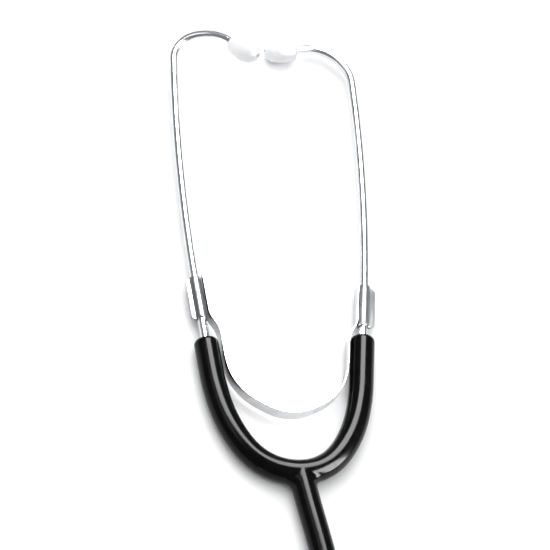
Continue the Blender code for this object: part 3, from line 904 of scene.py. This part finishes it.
def make_chest_stem(material):
    """The chromed stem, with its collar and the socket that the hose butts against."""
    profile = [
        (CHEST_STEM_R - 0.4, 4.2),
        (CHEST_STEM_R, 3.8),
        (CHEST_STEM_R, -4.3),
        (CHEST_STEM_R - 0.75, -5.1),
        (CHEST_STEM_R - 0.75, -6.1),
        (CHEST_STEM_R, -6.9),
        (CHEST_STEM_R, -11.5),
        (4.1, -11.7),
        (4.5, -12.2),
        (4.5, -14.0),
        (4.1, -14.5),
        (3.5, -14.9),
        (3.3, -20.0),
        (3.3, -33.5),
        (4.0, -34.1),
        (4.9, -34.5),
        (4.9, -44.1),
        (4.5, -44.6),
        (SOUND_R, -44.6),
        (SOUND_R, 4.2),
    ]
    axis = CHEST_CENTRE + Vector((0, 0, STEM_AXIS_Z))
    points, faces = lathe(rounded_profile(profile, 0.3, 3), 64, axis, (0, 1, 0))
    stem = mesh_piece("chest_stem_chrome", points, faces, material, "chest_chrome")
    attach(stem, "tubing")
    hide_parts("chest_stem")


def dress_cad_node(name, material):
    """A CAD solid that shows as it is, in a better material."""
    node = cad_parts[name]
    node.data.materials.clear()
    node.data.materials.append(material)


# Light, floor and camera


def camera_axes():
    """(towards the camera, picture right, picture up)."""
    azimuth, elevation = CAMERA_AZIMUTH, CAMERA_ELEVATION
    back = Vector(
        (
            math.sin(azimuth) * math.cos(elevation),
            -math.cos(azimuth) * math.cos(elevation),
            math.sin(elevation),
        )
    )
    right = Vector((math.cos(azimuth), math.sin(azimuth), 0.0))
    up = back.cross(right)
    turned_right = right * math.cos(CAMERA_ROLL) + up * math.sin(CAMERA_ROLL)
    turned_up = up * math.cos(CAMERA_ROLL) - right * math.sin(CAMERA_ROLL)
    return back, turned_right, turned_up


def make_camera():
    back, right, up = camera_axes()
    camera = bpy.data.objects.new("camera", bpy.data.cameras.new("camera"))
    bpy.context.collection.objects.link(camera)
    aim = Vector((0, 0, AXIS_Z)) + right * CAMERA_AIM[0] + up * CAMERA_AIM[1]
    place = to_frame(aim + back * CAMERA_DISTANCE)
    turn = Matrix((right, up, back)).transposed()
    camera.matrix_world = Matrix.Translation(place) @ turn.to_4x4()
    camera.data.lens = CAMERA_LENS
    camera.data.sensor_width = 36.0
    camera.data.clip_start = 0.05
    camera.data.clip_end = 50.0
    bpy.context.scene.camera = camera


def softbox(name, direction, distance, size, radiance, aim=LIGHT_AIM, reflected=True, lights_table=True):
    """A soft rectangular light, `distance` metres from its aim and facing it; sizes are in metres."""
    light = bpy.data.lights.new(name, "AREA")
    light.shape = "RECTANGLE"
    light.size, light.size_y = size
    light.energy = radiance * math.pi * size[0] * size[1]
    lamp = bpy.data.objects.new(name, light)
    bpy.context.collection.objects.link(lamp)
    towards = Vector(direction).normalized()
    lamp.location = to_frame(aim) + towards * distance
    lamp.rotation_euler = towards.to_track_quat("Z", "Y").to_euler()
    lamp.visible_camera = False
    lamp.visible_glossy = reflected
    lamp.visible_diffuse = lights_table


def make_studio():
    """The table, the lamps and the pale surroundings."""
    mesh = bpy.data.meshes.new("table")
    half = TABLE_HALF
    corners = [(-half, -half, 0), (half, -half, 0), (half, half, 0), (-half, half, 0)]
    mesh.from_pydata(corners, [], [(0, 1, 2, 3)])
    table = bpy.data.objects.new("table", mesh)
    table.location = (0, 0, -0.0001)
    bpy.context.collection.objects.link(table)
    mesh.materials.append(floor_material())
    softbox("back_window", (0.03, 0.55, 0.83), 1.1, (0.66, 0.74), 25.0, lights_table=False)
    softbox(
        "right_window",
        (0.74, -0.345, 0.57),
        0.9,
        (0.5, 0.8),
        36.0,
        aim=(26.0, -114.0, 8.0),
        lights_table=False,
    )
    softbox("left_card", (-0.52, 0.15, 0.84), 1.1, (0.6, 0.4), 1.4, lights_table=False)
    softbox("back_fill", (-0.12, 0.68, 0.72), 1.2, (1.0, 1.2), 2.8, reflected=False)
    softbox("right_fill", (0.8, -0.1, 0.6), 1.5, (0.9, 0.9), 1.6, reflected=False)
    softbox("left_fill", (-0.8, 0.1, 0.6), 1.5, (0.9, 0.9), 1.4, reflected=False)
    softbox("top_fill", (0.0, 0.0, 1.0), 2.0, (2.4, 2.4), 1.6, reflected=False)
    world = bpy.data.worlds.new("studio")
    world.use_nodes = True
    background = world.node_tree.nodes["Background"]
    background.inputs["Color"].default_value = (0.95, 0.97, 1.0, 1.0)
    background.inputs["Strength"].default_value = 0.26
    bpy.context.scene.world = world
    bpy.context.scene.view_settings.view_transform = "Standard"


def main():
    make_camera()
    black = tubing_material()
    tube_chrome = chrome_material(
        "ear_tube_chrome", (0.68, 0.685, 0.70), (0.75, 0.755, 0.77), 0.15, 0.21, (1.0, 0.12, 1.0)
    )
    strip_chrome = chrome_material(
        "spring_steel_chrome", (0.58, 0.585, 0.595), (0.64, 0.645, 0.655), 0.2, 0.28, (1.0, 1.0, 0.3)
    )
    clip_chrome = chrome_material(
        "pinched_clip_chrome", (0.2, 0.202, 0.208), (0.235, 0.237, 0.242), 0.32, 0.38, (1.0, 0.3, 1.0)
    )
    chest_chrome = chrome_material(
        "chest_chrome", (0.72, 0.73, 0.75), (0.80, 0.81, 0.83), 0.07, 0.13, (1.0, 1.0, 1.0)
    )
    steel = chrome_material(
        "detent_steel", (0.45, 0.46, 0.48), (0.58, 0.59, 0.6), 0.25, 0.4, (1.0, 1.0, 1.0)
    )
    white = tip_material()
    rim = rim_material()

    make_hose(black)
    make_junction(black)
    for side in SIDES:
        make_arm(side, black)
        make_spring(side, strip_chrome)
        make_clip(side, clip_chrome)
        make_ear_tube(side, tube_chrome)
        make_ear_tip(side, white)
    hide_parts("leaf_spring")
    make_chest_head(chest_chrome)
    make_chest_stem(chest_chrome)
    make_chest_rims(rim, membrane_material())
    for name in ("detent_ball", "detent_spring", "detent_screw"):
        dress_cad_node(name, steel)
    make_studio()


main()
